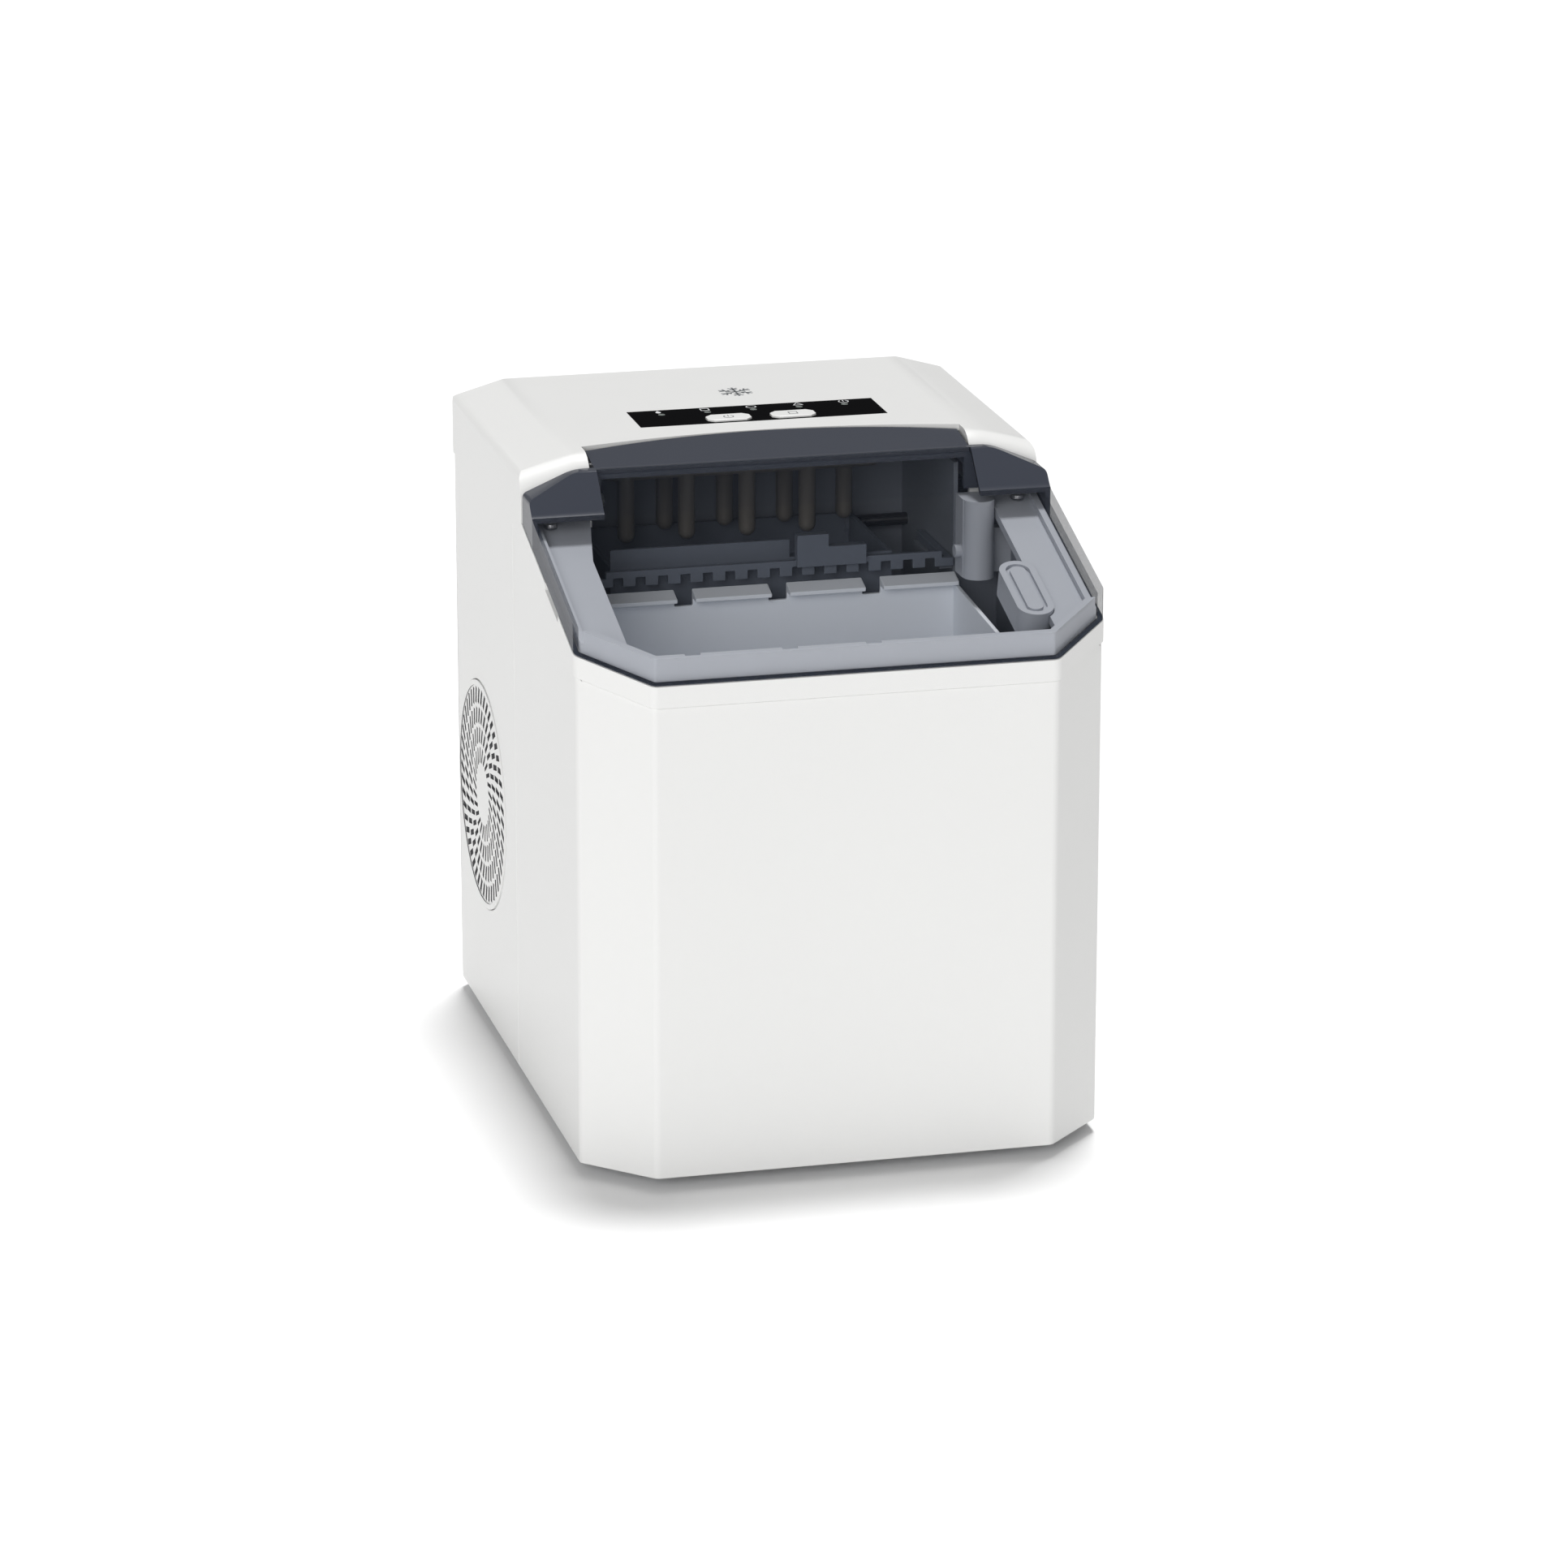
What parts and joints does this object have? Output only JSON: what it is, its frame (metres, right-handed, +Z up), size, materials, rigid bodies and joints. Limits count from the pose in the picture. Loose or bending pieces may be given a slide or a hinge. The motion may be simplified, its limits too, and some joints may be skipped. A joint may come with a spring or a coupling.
{
  "type": "ice maker",
  "caption": "Countertop bullet ice maker: white case, sloping smoked lid over a lift-out ice basket, dip evaporator, tilting water tray and rear refrigeration deck.",
  "frame": {"origin": "centre of the case footprint on the worktop, under the feet", "axes": "+Z up, the front with the sloping lid faces -Y, +X to the right seen from the front"},
  "size_m": [0.2436, 0.3076, 0.3059],
  "materials": {
    "white_shell": "satin",
    "bezel_grey": "satin",
    "smoke_window": "gloss",
    "lid_dark": "gloss",
    "liner_grey": "satin",
    "basket_grey": "satin",
    "tray_dark": "satin",
    "evaporator_plate": "satin",
    "steel": "brushed",
    "aluminium_fins": "satin",
    "black_enamel": "gloss",
    "copper": "satin",
    "black_rubber": "matte",
    "clear_hose": "satin",
    "foam": "matte",
    "board_green": "satin",
    "label_black": "gloss",
    "button_white": "satin",
    "light_lens": "gloss",
    "machine_grey": "matte",
    "galvanised": "satin"
  },
  "bodies": {
    "housing": {"front_wrap": "white_shell", "rear_shell": "white_shell", "top_cover": "white_shell", "fan_grille": "white_shell", "rear_panel": "white_shell", "bezel_frame": "bezel_grey", "gear_cover": "bezel_grey", "ice_sensor_housing": "bezel_grey", "inner_liner": "liner_grey", "fan_shroud": "tray_dark", "evaporator": "evaporator_plate", "lid_hinge_pins": "steel", "tray_pivot_pin": "steel", "bezel_screws": "steel", "panel_screws": "steel", "condenser": "aluminium_fins", "compressor": "black_enamel", "fan_motor": "black_enamel", "suction_line": "copper", "discharge_line": "copper", "liquid_lines": "copper", "filter_drier": "copper", "rubber_feet": "black_rubber", "compressor_grommets": "black_rubber", "cable_gland": "black_rubber", "fill_hose": "clear_hose", "foam_insulation": "foam", "control_board": "board_green", "control_label": "label_black", "indicator_lights": "light_lens", "gear_motor": "machine_grey", "water_pump": "machine_grey", "power_box": "machine_grey", "base_pan": "galvanised"},
    "lid": {"lid_frame": "lid_dark", "lid_window": "smoke_window"},
    "basket": {"ice_basket": "basket_grey"},
    "tray": {"water_tray": "tray_dark"},
    "shovel": {"ice_shovel": "tray_dark"},
    "fan": {"fan_blade": "tray_dark"},
    "power_key": {"power_button": "button_white"},
    "select_key": {"select_button": "button_white"},
    "plug": {"drain_plug": "black_rubber"}
  },
  "joints": [
    {"name": "lid_hinge", "type": "hinge", "parent": "housing", "child": "lid", "pos_m": [0, -0.0015, 0.297], "axis": [-1, 0, 0], "range_deg": [0, 88]},
    {"name": "basket_lift", "type": "slide", "parent": "housing", "child": "basket", "axis": [0, 0, 1], "range_m": [0, 0.008]},
    {"name": "tray_tilt", "type": "hinge", "parent": "housing", "child": "tray", "pos_m": [0, 0.085, 0.24], "axis": [1, 0, 0], "range_deg": [0, 22]},
    {"name": "shovel_draw", "type": "slide", "parent": "housing", "child": "shovel", "axis": [0, 1, 0], "range_m": [0, 0.008]},
    {"name": "fan_spin", "type": "hinge", "parent": "housing", "child": "fan", "pos_m": [-0.1065, 0.0895, 0.116], "axis": [1, 0, 0], "continuous": true},
    {"name": "power_press", "type": "slide", "parent": "housing", "child": "power_key", "axis": [0, 0, -1], "range_m": [0, 0.0012], "stiffness_N_per_m": 800},
    {"name": "select_press", "type": "slide", "parent": "housing", "child": "select_key", "axis": [0, 0, -1], "range_m": [0, 0.0012], "stiffness_N_per_m": 800},
    {"name": "plug_pull", "type": "slide", "parent": "housing", "child": "plug", "axis": [0, 0, -1], "range_m": [0, 0.0025]}
  ],
  "couplings": [
    {"joint": "shovel_draw", "follows": "tray_tilt", "m_per_rad": 0.0208}
  ]
}
